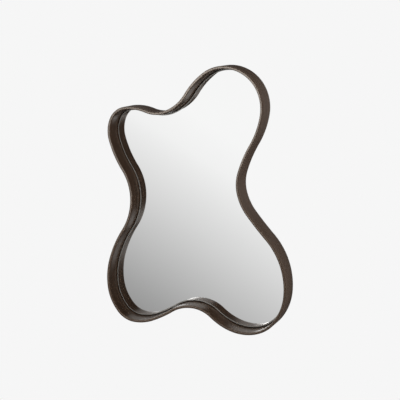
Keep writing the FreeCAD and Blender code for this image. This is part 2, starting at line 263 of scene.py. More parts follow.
class Finishes:
    """Builds each finish once and hands it out."""

    def __init__(self) -> None:
        """Make the shared effects."""
        self.grain = make_grain_group()
        self.mottle = make_mottle_group()
        self.made: dict[str, Material] = {}

    def mottling(self, tree: Tree, scales: Range) -> bpy.types.bpy_prop_collection:
        """Outputs of the mottle, placed in a material at the piece's own position, by its two scales."""
        inputs = {"Position": tree.add("TexCoord").outputs["Object"], "Broad": scales[0], "Fine": scales[1]}
        return tree.add("Group", inputs, node_tree=self.mottle).outputs

    def get(self, finish: "Finish") -> Material:
        """The material of a finish, built at its first use.

        Args:
            finish: the finish to build.

        Returns:
            The material.
        """
        if finish.name not in self.made:
            self.made[finish.name] = finish.build(self)
        return self.made[finish.name]


@dataclass(frozen=True)
class Finish:
    """Common part of every finish.

    A finish's scales are those of the mottle's clouds and of its specks, and its relief has a strength and a
    distance.
    """

    name: str

    def build(self, kit: Finishes) -> Material:
        """Build the material, with one Principled shader.

        Args:
            kit: the shared effects.

        Returns:
            The material.
        """
        material = bpy.data.materials.new(self.name)
        tree = Tree(empty_nodes(material))
        shader = tree.add("BsdfPrincipled", self.inputs(kit, tree))
        tree.add("OutputMaterial", {0: shader.outputs[0]})
        return material

    def inputs(self, kit: Finishes, tree: Tree) -> dict[str, object]:
        """Inputs of the shader, by name, for a kit of shared effects and the material's tree."""
        raise NotImplementedError


@dataclass(frozen=True)
class StainedWood(Finish):
    """Bent wood under dark stain and satin lacquer, its grain along the strip."""

    dark: Colour = (0.060, 0.034, 0.020)
    light: Colour = (0.150, 0.087, 0.054)
    pore: Colour = (0.026, 0.016, 0.010)
    pore_share: float = 0.55
    tones: Range = (0.34, 0.66)
    scales: Range = (9.0, 500.0)
    roughness: Range = (0.24, 0.33)
    relief: Range = (0.05, 0.0002)
    index: float = 1.65
    lustre: Colour = (1.0, 0.88, 0.76)
    lacquer: float = 0.25
    lacquer_roughness: float = 0.12

    def inputs(self, kit: Finishes, tree: Tree) -> dict[str, object]:
        """Grain colours the stain, the pores are darker, and clouds make the lacquer a little uneven.

        Args:
            kit: the shared effects.
            tree: the material's tree.

        Returns:
            Inputs of the shader by name.
        """
        along = tree.add("UVMap", uv_map=STRIP_MAP).outputs[0]
        grain = tree.add("Group", {"Position": along, "Fineness": 1.0}, node_tree=kit.grain).outputs
        clouds = kit.mottling(tree, self.scales)["Clouds"]
        stain = tree.blend(tree.level(grain["Tone"], *self.tones), self.dark, self.light)
        pores = tree.math("MULTIPLY", grain["Pores"], self.pore_share)
        return {
            "Base Color": tree.blend(pores, stain, self.pore),
            "Roughness": tree.level(clouds, 0.0, 1.0, *self.roughness),
            "Normal": tree.relief(grain["Height"], *self.relief),
            "IOR": self.index, "Specular IOR Level": 1.0, "Specular Tint": (*self.lustre, 1.0),
            "Coat Weight": self.lacquer, "Coat Roughness": self.lacquer_roughness,
        }


@dataclass(frozen=True)
class Silvering(Finish):
    """The mirror's face: silver behind clear glass, a metal that reflects nearly all.

    It is so smooth that the world counts it as a perfect mirror and shows it the sharp sky.
    """

    tint: Colour = (0.955, 0.958, 0.955)
    clouded: float = 0.995
    scales: Range = (7.0, 260.0)
    roughness: Range = (0.0, 0.0006)

    def inputs(self, kit: Finishes, tree: Tree) -> dict[str, object]:
        """Clouds of the faintest unevenness in tint and roughness.

        Args:
            kit: the shared effects.
            tree: the material's tree.

        Returns:
            Inputs of the shader by name.
        """
        clouds = kit.mottling(tree, self.scales)["Clouds"]
        other = tuple(self.clouded * part for part in self.tint)
        return {
            "Base Color": tree.blend(clouds, self.tint, other),
            "Roughness": tree.level(clouds, 0.0, 1.0, *self.roughness),
            "Metallic": 1.0,
        }


@dataclass(frozen=True)
class GroundEdge(Finish):
    """The ground arris and cut edge of the glass: pale, warm and matt."""

    pale: Colour = (0.96, 0.93, 0.87)
    deep: Colour = (0.82, 0.81, 0.75)
    specked: float = 0.35
    scales: Range = (40.0, 1500.0)
    roughness: Range = (0.30, 0.48)
    relief: Range = (0.2, 0.0001)

    def inputs(self, kit: Finishes, tree: Tree) -> dict[str, object]:
        """Grinding marks as fine specks in colour, roughness and height.

        Args:
            kit: the shared effects.
            tree: the material's tree.

        Returns:
            Inputs of the shader by name.
        """
        specks = kit.mottling(tree, self.scales)["Specks"]
        return {
            "Base Color": tree.blend(tree.math("MULTIPLY", specks, self.specked), self.pale, self.deep),
            "Roughness": tree.level(specks, 0.0, 1.0, *self.roughness),
            "Normal": tree.relief(specks, *self.relief),
        }


@dataclass(frozen=True)
class Sheet(Finish):
    """A plain sheet material: board facing, film or foam, with specks and clouds in its own shade."""

    base: Colour
    other: Colour
    scales: Range
    roughness: Range
    relief: Range
    shares: Range = (0.6, 0.4)

    def inputs(self, kit: Finishes, tree: Tree) -> dict[str, object]:
        """Clouds and specks mix the two shades, and the specks stand out as a fine relief.

        Args:
            kit: the shared effects.
            tree: the material's tree.

        Returns:
            Inputs of the shader by name.
        """
        mottle = kit.mottling(tree, self.scales)
        share = tree.weigh((mottle["Clouds"], self.shares[0]), (mottle["Specks"], self.shares[1]))
        return {
            "Base Color": tree.blend(share, self.base, self.other),
            "Roughness": tree.level(mottle["Specks"], 0.0, 1.0, *self.roughness),
            "Normal": tree.relief(mottle["Specks"], *self.relief),
        }


@dataclass(frozen=True)
class ZincPlate(Finish):
    """Zinc-plated steel: a bright grey metal with spangles and small smudges."""

    bright: Colour = (0.68, 0.67, 0.65)
    dull: Colour = (0.48, 0.475, 0.46)
    scales: Range = (90.0, 420.0)
    roughness: Range = (0.25, 0.44)
    relief: Range = (0.1, 0.0001)
    shares: Range = (0.5, 0.5)

    def inputs(self, kit: Finishes, tree: Tree) -> dict[str, object]:
        """Cells give the spangles and clouds the smudges.

        Args:
            kit: the shared effects.
            tree: the material's tree.

        Returns:
            Inputs of the shader by name.
        """
        mottle = kit.mottling(tree, self.scales)
        share = tree.weigh((mottle["Cells"], self.shares[0]), (mottle["Clouds"], self.shares[1]))
        return {
            "Base Color": tree.blend(share, self.bright, self.dull),
            "Roughness": tree.level(share, 0.0, 1.0, *self.roughness),
            "Normal": tree.relief(mottle["Clouds"], *self.relief),
            "Metallic": 1.0,
        }


WOOD = StainedWood("stained_bent_wood")
MIRROR_FACE = Silvering("silvered_face")
GLASS_EDGE = GroundEdge("ground_glass_edge")
BOARD_FACE = Sheet("black_board_facing", (0.030, 0.029, 0.028), (0.050, 0.047, 0.044),
                   scales=(14.0, 900.0), roughness=(0.49, 0.61), relief=(0.25, 0.0002))
FILM_FACE = Sheet("grey_backing_film", (0.42, 0.44, 0.47), (0.36, 0.38, 0.41),
                  scales=(8.0, 1200.0), roughness=(0.39, 0.51), relief=(0.05, 0.0002))
FOAM_FACE = Sheet("white_foam_tape", (0.80, 0.80, 0.77), (0.70, 0.70, 0.68),
                  scales=(30.0, 1600.0), roughness=(0.79, 0.91), relief=(0.4, 0.0002))
ZINC_SHEET = ZincPlate("zinc_plated_sheet")
ZINC_SCREW = ZincPlate("zinc_plated_screw", (0.60, 0.595, 0.58), (0.42, 0.415, 0.40),
                       scales=(90.0, 900.0), roughness=(0.29, 0.48))


# ---------------------------------------------------------------- meshes

def grid_faces(rows: int, columns: int, closed: tuple[bool, bool]) -> tuple[np.ndarray, np.ndarray]:
    """Quads over a grid of points, which may close on itself either way.

    Args:
        rows: number of rows of points.
        columns: number of columns of points.
        closed: whether the last row joins the first, and the last column the first.

    Returns:
        Vertex indices, one quad a line, and the same corners as unwrapped (row, column) pairs.
    """
    row = np.arange(rows if closed[0] else rows - 1)[:, None, None]
    column = np.arange(columns if closed[1] else columns - 1)[None, :, None]
    rows_of = row + np.array([0, 1, 1, 0]) + 0 * column
    columns_of = column + np.array([0, 0, 1, 1]) + 0 * row
    quads = (rows_of % rows) * columns + columns_of % columns
    corners = np.stack([rows_of, columns_of], axis=-1)
    return quads.reshape(-1, 4), corners.reshape(-1, 4, 2)


@dataclass
class Shell:
    """A mesh in the making: points, faces, and a finish index for each face."""

    points: list[np.ndarray] = field(default_factory=list)
    faces: list[list[int]] = field(default_factory=list)
    finishes: list[int] = field(default_factory=list)
    layout: list[np.ndarray] = field(default_factory=list)
    count: int = 0

    def add_grid(self, points: np.ndarray, closed: tuple[bool, bool], finish: int = 0,
                 layout: np.ndarray | None = None) -> int:
        """Add a grid of points as quads.

        Args:
            points: array of rows by columns by 3.
            closed: whether the rows and the columns close on themselves.
            finish: finish index of its faces.
            layout: UV of each unwrapped corner, rows + 1 by columns + 1 by 2.

        Returns:
            Index of the grid's first point.
        """
        rows, columns = points.shape[:2]
        quads, corners = grid_faces(rows, columns, closed)
        start = self.count
        self.points.append(points.reshape(-1, 3))
        self.faces.extend((quads + start).tolist())
        self.finishes.extend([finish] * len(quads))
        if layout is None:
            self.layout.append(np.zeros((quads.size, 2)))
        else:
            self.layout.append(layout[corners[..., 0], corners[..., 1]].reshape(-1, 2))
        self.count += rows * columns
        return start

    def add_cap(self, indices: np.ndarray, finish: int = 0) -> None:
        """Close a ring of points with one flat face.

        Args:
            indices: the ring's points, in order, anticlockwise as seen from outside.
            finish: finish index.
        """
        self.faces.append(indices.tolist())
        self.finishes.append(finish)
        self.layout.append(np.zeros((len(indices), 2)))

    def add_rod(self, rings: np.ndarray) -> None:
        """Add rings of points one after another, with a flat face over the first and over the last.

        Args:
            rings: array of rings by points by 3, each anticlockwise as seen from beyond the last.
        """
        ring = rings.shape[1]
        start = self.add_grid(rings, (False, True))
        self.add_cap(start + np.arange(ring)[::-1])
        self.add_cap(self.count - ring + np.arange(ring))

    def build(self, name: str, materials: list[Material], sharp: float = 35.0) -> bpy.types.Object:
        """Make the object, smooth but for edges sharper than an angle.

        Args:
            name: the piece's name.
            materials: its finishes, in the order of the finish indices.
            sharp: angle in degrees past which an edge stays sharp.

        Returns:
            The object, at the origin, with its place in its mesh.
        """
        mesh = bpy.data.meshes.new(name)
        mesh.from_pydata(np.concatenate(self.points).tolist(), [], self.faces)
        mesh.polygons.foreach_set("material_index", np.array(self.finishes, dtype=np.int32))
        for material in materials:
            mesh.materials.append(material)
        mesh.uv_layers.new(name=STRIP_MAP)
        mesh.uv_layers[STRIP_MAP].data.foreach_set("uv", np.concatenate(self.layout).ravel())
        mesh.validate()
        mesh.update()
        mesh.shade_smooth()
        mesh.set_sharp_from_angle(angle=math.radians(sharp))
        piece = bpy.data.objects.new(name, mesh)
        bpy.context.scene.collection.objects.link(piece)
        return piece


def settle(piece: bpy.types.Object, body: Body, slot: Slot, *nodes: str) -> None:
    """Put a new piece on its body, in place of the CAD nodes that it stands for.

    Args:
        piece: the new object.
        body: the body that carries it.
        slot: the record's material slot; not used.
        nodes: names of the CAD nodes it stands for.
    """
    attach(piece, body.value)
    if nodes:
        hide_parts(*nodes)
    LOG.info("%s: %d faces on %s", piece.name, len(piece.data.polygons), body.value)


def dress_node(name: str, material: Material) -> None:
    """Give a CAD node that stays its finish.

    Args:
        name: the node's name.
        material: its finish.
    """
    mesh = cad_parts[name].data
    mesh.materials.clear()
    mesh.materials.append(material)
    LOG.info("%s: CAD node dressed with %s", name, material.name)


def lift(plane: np.ndarray, depth: np.ndarray | float) -> np.ndarray:
    """Points in space of complex points at their depths: (real part, minus depth, imaginary part)."""
    plane, depth = np.broadcast_arrays(plane, depth)
    return np.stack([plane.real, -depth, plane.imag], axis=-1)


def arc(centre: complex, radius: float, start: float, end: float, steps: int) -> np.ndarray:
    """Points of an arc as complex numbers: the centre plus the radius times exp(i angle), in degrees."""
    return centre + radius * np.exp(1j * np.radians(np.linspace(start, end, steps)))


def run_length(points: np.ndarray) -> np.ndarray:
    """Length along a path up to each of its points: the sum of the steps before it."""
    return np.concatenate([[0.0], np.cumsum(np.linalg.norm(np.diff(points, axis=0), axis=1))])


def seat_matrix(origin: np.ndarray, x_axis: np.ndarray, z_axis: np.ndarray) -> np.ndarray:
    """Matrix of a seat from its origin, its X axis and its Z axis.

    Args:
        origin: place of the seat.
        x_axis: unit vector.
        z_axis: unit vector at right angles to it.

    Returns:
        4 by 4 matrix.
    """
    matrix = np.eye(4)
    matrix[:3] = np.stack([x_axis, np.cross(z_axis, x_axis), z_axis, origin], axis=-1)
    return matrix


def put(points: np.ndarray, matrix: np.ndarray) -> np.ndarray:
    """Points turned and moved by a 4 by 4 matrix."""
    return points @ matrix[:3, :3].T + matrix[:3, 3]


# ---------------------------------------------------------------- the outline

@dataclass(frozen=True)
class Outline:
    """Centre line of the bent strip: guide points in mm, and two tangent arcs from each to the next."""

    guides: tuple[tuple[float, float], ...] = (
        (111, 74), (231, 254), (164, 377), (23, 388), (-72, 204), (-228, 286), (-300, 170),
        (-142, -10), (-302, -197), (-251, -384), (-135, -382), (4, -275), (101, -389), (269, -359),
        (290, -145), (147, -27),
    )
    steps: int = 22

    def arcs(self) -> tuple[np.ndarray, np.ndarray, np.ndarray]:
        """Starts, headings and ends of the arcs.

        A knot lies a sixth of the way from its guide towards each neighbour, and its heading runs from one
        neighbour to the other. Two arcs with equal tangents join each knot to the next.

        Returns:
            Complex starts, headings at the starts, and ends, in metres.
        """
        guide = np.array([complex(x, z) for x, z in self.guides]) * MM
        following, previous = np.roll(guide, -1), np.roll(guide, 1)
        knot = (previous + 4 * guide + following) / 6
        heading = (following - previous) / abs(following - previous)
        end, end_heading = np.roll(knot, -1), np.roll(heading, -1)
        chord = end - knot
        lean = (chord * np.conj(heading + end_heading)).real
        bend = 2 * (1 - (heading * np.conj(end_heading)).real)
        reach = (np.sqrt(lean ** 2 + bend * abs(chord) ** 2) - lean) / bend
        joint = (knot + end + reach * (heading - end_heading)) / 2
        joint_heading = ((joint - knot) / abs(joint - knot)) ** 2 / heading
        starts = np.stack([knot, joint], axis=1).ravel()
        headings = np.stack([heading, joint_heading], axis=1).ravel()
        ends = np.stack([joint, end], axis=1).ravel()
        return starts, headings, ends

    def stations(self) -> tuple[np.ndarray, np.ndarray, np.ndarray]:
        """Evenly spaced stations on every arc.

        On an arc whose chord leans by a from its heading, the share (exp(2iat) - 1) / (exp(2ia) - 1) of the
        chord leads to the point at parameter t, and the heading has turned by 2at.

        Returns:
            Points, headings, and lengths along the strip with one more entry than points.
        """
        start, heading, end = (part[:, None] for part in self.arcs())
        share = np.arange(self.steps)[None] / self.steps
        lean = np.angle((end - start) / heading)
        turned = np.exp(2j * lean * share)
        point = start + (end - start) * (turned - 1) / (np.exp(2j * lean) - 1)
        length = abs(end - start) * lean / np.sin(lean) / self.steps + 0 * share
        along = np.concatenate([[0.0], np.cumsum(length.ravel())])
        return point.ravel(), (heading * turned).ravel(), along

    def carry(self, section: np.ndarray) -> np.ndarray:
        """Carry a section along the line: each point plus the inset times the inward normal, at its depth.

        Args:
            section: inset from the line and depth from the wall, points by 2.

        Returns:
            Array of stations by points by 3.
        """
        point, heading, _ = self.stations()
        return lift(point[:, None] + 1j * heading[:, None] * section[None, :, 0], section[None, :, 1])

    def joint(self, after: int) -> tuple[complex, complex]:
        """Point and heading between a guide, given by its place in the list, and the next."""
        starts, headings, _ = self.arcs()
        return starts[2 * after + 1], headings[2 * after + 1]


# ---------------------------------------------------------------- hoop and glass

@dataclass
class BentHoop:
    """The bent strip with its rounded front edge and eased rear edge."""

    outline: Outline
    depth: float = 0.062
    wall: float = 0.008
    inner_round: float = 0.0014
    outer_round: float = 0.0026
    rear_round: float = 0.0014
    inner_steps: int = 8
    outer_steps: int = 10
    rear_steps: int = 5
    wall_steps: int = 8

    def section(self) -> np.ndarray:
        """Section of the strip, as inset from the centre line and depth from the wall.

        Four quarter circles in the corners, joined by straight runs: over the front edge, down the outer
        wall, across the rear edge and up the inner wall. The long runs have points in between.

        Returns:
            Array of points by 2, closed.
        """
        half, inner, outer, rear = self.wall / 2, self.inner_round, self.outer_round, self.rear_round
        line = np.concatenate([
            arc(complex(half - inner, self.depth - inner), inner, 0, 90, self.inner_steps),
            arc(complex(outer - half, self.depth - outer), outer, 90, 180, self.outer_steps),
            -half + 1j * np.linspace(self.depth - outer, rear, self.wall_steps)[1:-1],
            arc(complex(rear - half, rear), rear, 180, 270, self.rear_steps),
            arc(complex(half - rear, rear), rear, 270, 360, self.rear_steps),
            half + 1j * np.linspace(rear, self.depth - inner, self.wall_steps)[1:-1],
        ])
        return np.stack([line.real, line.imag], axis=-1)

    def build(self, finishes: Finishes) -> None:
        """Carry the section along the outline, with the grain's map along the strip and round it.

        Args:
            finishes: hands out the finishes.
        """
        section = self.section()
        along = self.outline.stations()[2]
        girth = run_length(np.concatenate([section, section[:1]]))
        layout = np.stack(np.broadcast_arrays(along[:, None], girth[None]), axis=-1)
        shell = Shell()
        shell.add_grid(self.outline.carry(section), (True, True), layout=layout)
        piece = shell.build("bent_hoop", [finishes.get(WOOD)])
        settle(piece, Body.MIRROR, Slot.WOOD, "frame_hoop")


@dataclass
class GlassPane:
    """The mirror glass with its ground arris."""

    outline: Outline
    inset: float = 0.0065
    back: float = 0.011
    front: float = 0.015
    arris: float = 0.0032
    arris_depth: float = 0.0012

    def build(self, finishes: Finishes) -> None:
        """Carry the edge along the outline, over the arris and down the cut side, and close both faces.

        Args:
            finishes: hands out the finishes.
        """
        edge = np.array([[self.inset + self.arris, self.front], [self.inset, self.front - self.arris_depth],
                         [self.inset, self.back]])
        points = self.outline.carry(edge)
        shell = Shell()
        shell.add_grid(points, (True, False), finish=1)
        first = np.arange(len(points)) * len(edge)
        shell.add_cap(first, 0)
        shell.add_cap(first[::-1] + len(edge) - 1, 1)
        piece = shell.build("glass_pane", [finishes.get(MIRROR_FACE), finishes.get(GLASS_EDGE)], sharp=25.0)
        settle(piece, Body.MIRROR, Slot.MIRROR, "mirror_glass")


@dataclass
class BackLayers:
    """Film, foam tape and board: flat layers whose CAD shape is right."""

    film: str = "safety_film"
    board: str = "back_board"
    tapes: tuple[str, ...] = (
        "tape_left_low", "tape_left_high", "tape_inner_left", "tape_middle", "tape_inner_right",
        "tape_right_low", "tape_right_high",
    )

    def dress(self, finishes: Finishes) -> None:
        """Give every layer its finish.

        Args:
            finishes: hands out the finishes.
        """
        dress_node(self.film, finishes.get(FILM_FACE))
        dress_node(self.board, finishes.get(BOARD_FACE))
        for tape in self.tapes:
            dress_node(tape, finishes.get(FOAM_FACE))


# ---------------------------------------------------------------- screws and sheet

@dataclass(frozen=True)
class PanScrew:
    """A pan-head screw with a cross recess, of which the head and a short neck are made.

    The rim, the slots and their slopes are shares of the head's radius, of the dome's height or of a slot.
    """

    head: float
    dome: float
    neck: float
    neck_length: float = 0.001
    underside: float = 0.97
    rim: float = 0.45
    rim_rise: float = 0.70
    rim_turn: float = 62.0
    slot: float = 0.13
    slot_reach: float = 0.62
    slot_depth: float = 0.6
    slot_slopes: Range = (0.35, 0.2)
    ring: int = 48
    rim_steps: int = 7
    crown_steps: int = 12

    def surface(self) -> np.ndarray:
        """Rings of points from the neck up to the crown, in the screw's own frame.

        The rim is a quarter ellipse of the head's radius and height. On the crown the height drops where the
        point lies within the cross: the smaller of its two distances from the axes is under the slot's half
        width, and the larger one under its reach.

        Returns:
            Array of rings by points by 3.
        """
        turn = np.linspace(0.0, 2 * math.pi, self.ring, endpoint=False)
        low = np.array([[self.neck, -self.neck_length], [self.neck, 0.0], [self.head * self.underside, 0.0]])
        angle = np.radians(np.linspace(0, self.rim_turn, self.rim_steps))
        rise = np.sin(angle) / math.sin(angle[-1])
        rim = np.stack([self.head * (1 - self.rim + self.rim * np.cos(angle)),
                        self.dome * (1 - self.rim_rise + self.rim_rise * rise)], axis=-1)
        flat = np.linspace(rim[-1, 0], 0.0, self.crown_steps)[1:-1]
        crown = np.stack([flat, self.dome + 0 * flat], axis=-1)
        radius, height = np.concatenate([low, rim, crown]).T[..., None]
        x, y = radius * np.cos(turn), radius * np.sin(turn)
        narrow, wide = np.minimum(abs(x), abs(y)), np.maximum(abs(x), abs(y))
        half, reach = self.slot * self.head, self.slot_reach * self.head
        within = np.clip((half - narrow) / (self.slot_slopes[0] * half), 0, 1)
        within = within * np.clip((reach - wide) / (self.slot_slopes[1] * reach), 0, 1)
        sunk = height - np.where(height > 0, self.slot_depth * self.dome * within, 0)
        return np.stack([x, y, sunk], axis=-1)

    def add_to(self, shell: Shell, seat: np.ndarray) -> None:
        """Add one screw to a mesh, at a seat whose Z points along the head."""
        shell.add_rod(put(self.surface(), seat))


def ease(corner: float, steps: int) -> np.ndarray:
    """Distances from an end up to its corner radius, crowded at the end: the radius times 1 - cosine."""
    return corner * (1 - np.cos(np.radians(np.linspace(0, 90, steps))))


def carry_sheet(path: np.ndarray, width: float, thick: float, corner: float, both_ends: bool) -> np.ndarray:
    """Carry a flat section along a path, narrower round the corners of its first end or of both.

    Within the corner radius r of an end, at distance d from it, the half width is less by r minus the
    square root of r squared minus (r - d) squared. The section goes round by the hand of the path's
    direction and its normal, so that the faces point outwards.

    Args:
        path: Y, Z, and the normal's Y and Z at each station, stations by 4.
        width: the sheet's width, along X.
        thick: its thickness.
        corner: radius of its end corners.
        both_ends: whether the last end is rounded too.

    Returns:
        Array of stations by 4 by 3.
    """
    middle, normal = path[:, :2], path[:, 2:]
    run = run_length(middle)
    away = np.minimum(np.minimum(run, run[-1] - run) if both_ends else run, corner)
    half = width / 2 - (corner - np.sqrt(corner ** 2 - (corner - away) ** 2))
    ahead = middle[1] - middle[0]
    hand = np.sign(ahead[0] * normal[0, 1] - ahead[1] * normal[0, 0])
    across = half[:, None] * hand * np.array([1.0, -1.0, -1.0, 1.0])
    side = np.array([1.0, 1.0, -1.0, -1.0]) * thick / 2
    y, z = (middle[:, None] + normal[:, None] * side[None, :, None]).transpose(2, 0, 1)
    return np.stack([across, y, z], axis=-1)


# ---------------------------------------------------------------- angle clips

@dataclass
class AngleClips:
    """Folded steel angles between the board and the strip, and their screws.

    Each sits between the guide point of its number and the next.
    """

    outline: Outline
    places: dict[str, int] = field(default_factory=lambda: {
        "neck": 0, "crown": 3, "ear_side": 6, "left_hip": 7, "left_toe": 10, "right_hip": 14,
    })
    width: float = 0.012
    thick: float = 0.0008
    foot: float = 0.014
    gap: float = 0.0003
    edge: float = 0.0006
    board: float = 0.005
    bend: float = 0.0004
    corner: float = 0.0022
    screw: PanScrew = PanScrew(head=0.0017, dome=0.0008, neck=0.00095)
    reach: float = 0.009
    half_wall: float = 0.004
    corner_steps: int = 8
    bend_steps: int = 7

    def frame_at(self, place: int) -> np.ndarray:
        """Frame of a clip on the strip's inner wall: Z points into the mirror and Y away from the room.

        Args:
            place: the guide it follows.

        Returns:
            4 by 4 matrix.
        """
        point, heading = self.outline.joint(place)
        inward = 1j * heading
        origin = lift(point + inward * self.half_wall, 0.0)
        return seat_matrix(origin, lift(-1j * inward, 0.0), lift(inward, 0.0))

    def sheet(self) -> np.ndarray:
        """Middle of the folded sheet and its normal, in the clip's Y and Z.

        Two straight runs, up the strip and along the board, joined by a quarter circle.

        Returns:
            Y, Z, and the normal's Y and Z at each station, stations by 4.
        """
        radius = self.bend + self.thick / 2
        wall_z, board_y = self.gap + self.thick / 2, self.thick / 2 - self.board
        eased = ease(self.corner, self.corner_steps)
        up = np.concatenate([-self.edge - eased, [board_y + radius]])
        out = np.concatenate([[wall_z + radius], (self.gap + self.foot - eased)[::-1]])
        turn = np.radians(np.linspace(180, 270, self.bend_steps))[1:-1]
        y, z = -np.sin(turn), -np.cos(turn)
        return np.concatenate([
            np.column_stack(np.broadcast_arrays(up, wall_z, 0.0, 1.0)),
            np.column_stack([board_y + radius - radius * y, wall_z + radius - radius * z, y, z]),
            np.column_stack(np.broadcast_arrays(board_y, out, 1.0, 0.0)),
        ])

    def build(self, finishes: Finishes) -> None:
        """Build each clip as a piece of its own, and the screws in two groups.

        Args:
            finishes: hands out the finishes.
        """
        points = carry_sheet(self.sheet(), self.width, self.thick, self.corner, both_ends=True)
        hoop_seat = seat_matrix(np.array([0.0, -self.edge - self.screw.head, self.gap + self.thick]),
                                X_AXIS, Z_AXIS)
        board_seat = seat_matrix(np.array([0.0, self.thick - self.board, self.reach]), X_AXIS, Y_AXIS)
        to_hoop, to_board = Shell(), Shell()
        for name, place in self.places.items():
            matrix = self.frame_at(place)
            shell = Shell()
            shell.add_rod(put(points, matrix))
            piece = shell.build(f"clip_{name}", [finishes.get(ZINC_SHEET)])
            settle(piece, Body.MIRROR, Slot.ZINC, f"angle_clip_{name}")
            self.screw.add_to(to_hoop, matrix @ hoop_seat)
            self.screw.add_to(to_board, matrix @ board_seat)
        for label, shell, node in (("screws_in_hoop", to_hoop, "clip_screws_to_hoop"),
                                   ("screws_in_board", to_board, "clip_screws_to_board")):
            piece = shell.build(label, [finishes.get(ZINC_SCREW)])
            settle(piece, Body.MIRROR, Slot.SCREW, node)


# ---------------------------------------------------------------- hangers

class Side(Enum):
    """The two hangers."""

    LEFT = -1
    RIGHT = 1


@dataclass
class Hangers:
    """Strap hangers with their rings, screwed to the board."""

    pitch: float = 0.220
    middle: float = -0.010
    level: float = 0.150
    board: float = 0.005
    strap_width: float = 0.014
    strap_thick: float = 0.001
    strap_length: float = 0.032
    strap_corner: float = 0.0068
    roll_turn: float = 330.0
    wire: float = 0.0011
    play: float = 0.00006
    half_width: float = 0.0105
    drop: float = 0.010
    corner: float = 0.0026
    clearance: float = 0.0003
    screw: PanScrew = PanScrew(head=0.0028, dome=0.0012, neck=0.00145)
    screw_drop: float = 0.0265
    strap_steps: int = 10
    roll_steps: int = 26
    corner_steps: int = 9
    bow_steps: int = 33
    bar_steps: int = 8
    wire_steps: int = 20

    @property
    def axis_depth(self) -> float:
        """Depth of the ring's axis from the wall."""
        return self.board - self.strap_thick - self.clearance - self.wire

    def centre(self, side: Side) -> np.ndarray:
        """Middle of a ring's axis."""
        return np.array([self.middle + side.value * self.pitch / 2, -self.axis_depth, self.level])

    def strap_path(self) -> np.ndarray:
        """Middle of the strap's sheet and its normal, in the hanger's Y and Z.

        From the lower end up the board, at half a thickness from it, and then nearly once round the ring's
        bar in a circle, which starts where the run touches it or comes nearest to it.

        Returns:
            Y, Z, and the outward normal's Y and Z at each station, stations by 4.
        """
        roll = self.wire + self.play + self.strap_thick / 2
        face = self.axis_depth - self.board + self.strap_thick / 2
        begin = math.pi - math.acos(min(1.0, -face / roll))
        straight = np.linspace(self.strap_corner - self.strap_length, roll * math.sin(begin), 4)[1:-1]
        rise = np.concatenate([ease(self.strap_corner, self.strap_steps) - self.strap_length, straight])
        turn = np.linspace(begin, begin - math.radians(self.roll_turn), self.roll_steps)
        y, z = np.cos(turn), np.sin(turn)
        return np.concatenate([np.column_stack(np.broadcast_arrays(face, rise, -1.0, 0.0)),
                               np.column_stack([roll * y, roll * z, y, z])])

    def build_strap(self, side: Side, finishes: Finishes) -> None:
        """Carry the strap's flat section along its path, with the lower corners rounded off.

        Args:
            side: which hanger.
            finishes: hands out the finishes.
        """
        points = carry_sheet(self.strap_path(), self.strap_width, self.strap_thick, self.strap_corner,
                             both_ends=False)
        shell = Shell()
        shell.add_rod(points + self.centre(side))
        label = side.name.lower()
        piece = shell.build(f"strap_{label}", [finishes.get(ZINC_SHEET)])
        settle(piece, Body.MIRROR, Slot.ZINC, f"hanger_strap_{label}")

    def ring_path(self) -> tuple[np.ndarray, np.ndarray]:
        """Middle line of the ring in its own plane, as complex numbers, and the headings along it.

        A bar across the top, a quarter circle at each end of it, straight legs, and a half circle below.
        On each arc about a centre the heading is -i times the direction from that centre.

        Returns:
            Points and unit headings, closed.
        """
        inner = self.half_width - self.corner
        points, headings = [], []
        for centre, radius, start, end, steps in (
            (complex(inner, -self.corner), self.corner, 90, 0, self.corner_steps),
            (complex(0, -self.drop), self.half_width, 0, -180, self.bow_steps),
            (complex(-inner, -self.corner), self.corner, 180, 90, self.corner_steps),
        ):
            points.append(arc(centre, radius, start, end, steps))
            headings.append(-1j * arc(0.0, 1.0, start, end, steps))
        points.append(np.linspace(-inner, inner, self.bar_steps)[1:-1])
        headings.append(np.ones_like(points[-1]))
        return np.concatenate(points), np.concatenate(headings)

    def build_ring(self, side: Side, finishes: Finishes) -> None:
        """Carry a round wire along the ring's line: the circle lies between the in-plane normal and depth.

        Args:
            side: which hanger.
            finishes: hands out the finishes.
        """
        point, heading = self.ring_path()
        turn = np.linspace(0.0, 2 * math.pi, self.wire_steps, endpoint=False)
        plane = point[:, None] + 1j * heading[:, None] * self.wire * np.cos(turn)
        points = lift(plane, self.wire * np.sin(turn)[None]) + self.centre(side)
        shell = Shell()
        shell.add_grid(points[::-1], (True, True))
        label = side.name.lower()
        piece = shell.build(f"ring_{label}", [finishes.get(ZINC_SHEET)])
        body = Body.LEFT_RING if side is Side.LEFT else Body.RIGHT_RING
        settle(piece, body, Slot.ZINC, f"d_ring_{label}")

    def build(self, finishes: Finishes) -> None:
        """Build both hangers and their screws.

        Args:
            finishes: hands out the finishes.
        """
        screws = Shell()
        for side in Side:
            self.build_strap(side, finishes)
            self.build_ring(side, finishes)
            place = self.centre(side)
            place[1] = self.strap_thick - self.board
            place[2] -= self.screw_drop
            self.screw.add_to(screws, seat_matrix(place, X_AXIS, Y_AXIS))
        piece = screws.build("screws_in_hangers", [finishes.get(ZINC_SCREW)])
        settle(piece, Body.MIRROR, Slot.SCREW, "hanger_screws")


# ---------------------------------------------------------------- studio

def look_matrix(place: np.ndarray, back: np.ndarray) -> Matrix:
    """Matrix of something that looks along its -Z, level with the ground.

    Args:
        place: its place.
        back: direction from what it looks at towards it.

    Returns:
        The matrix.
    """
    back = back / np.linalg.norm(back)
    right = np.cross(Z_AXIS, back)
    return Matrix(seat_matrix(place, right / np.linalg.norm(right), back).tolist())


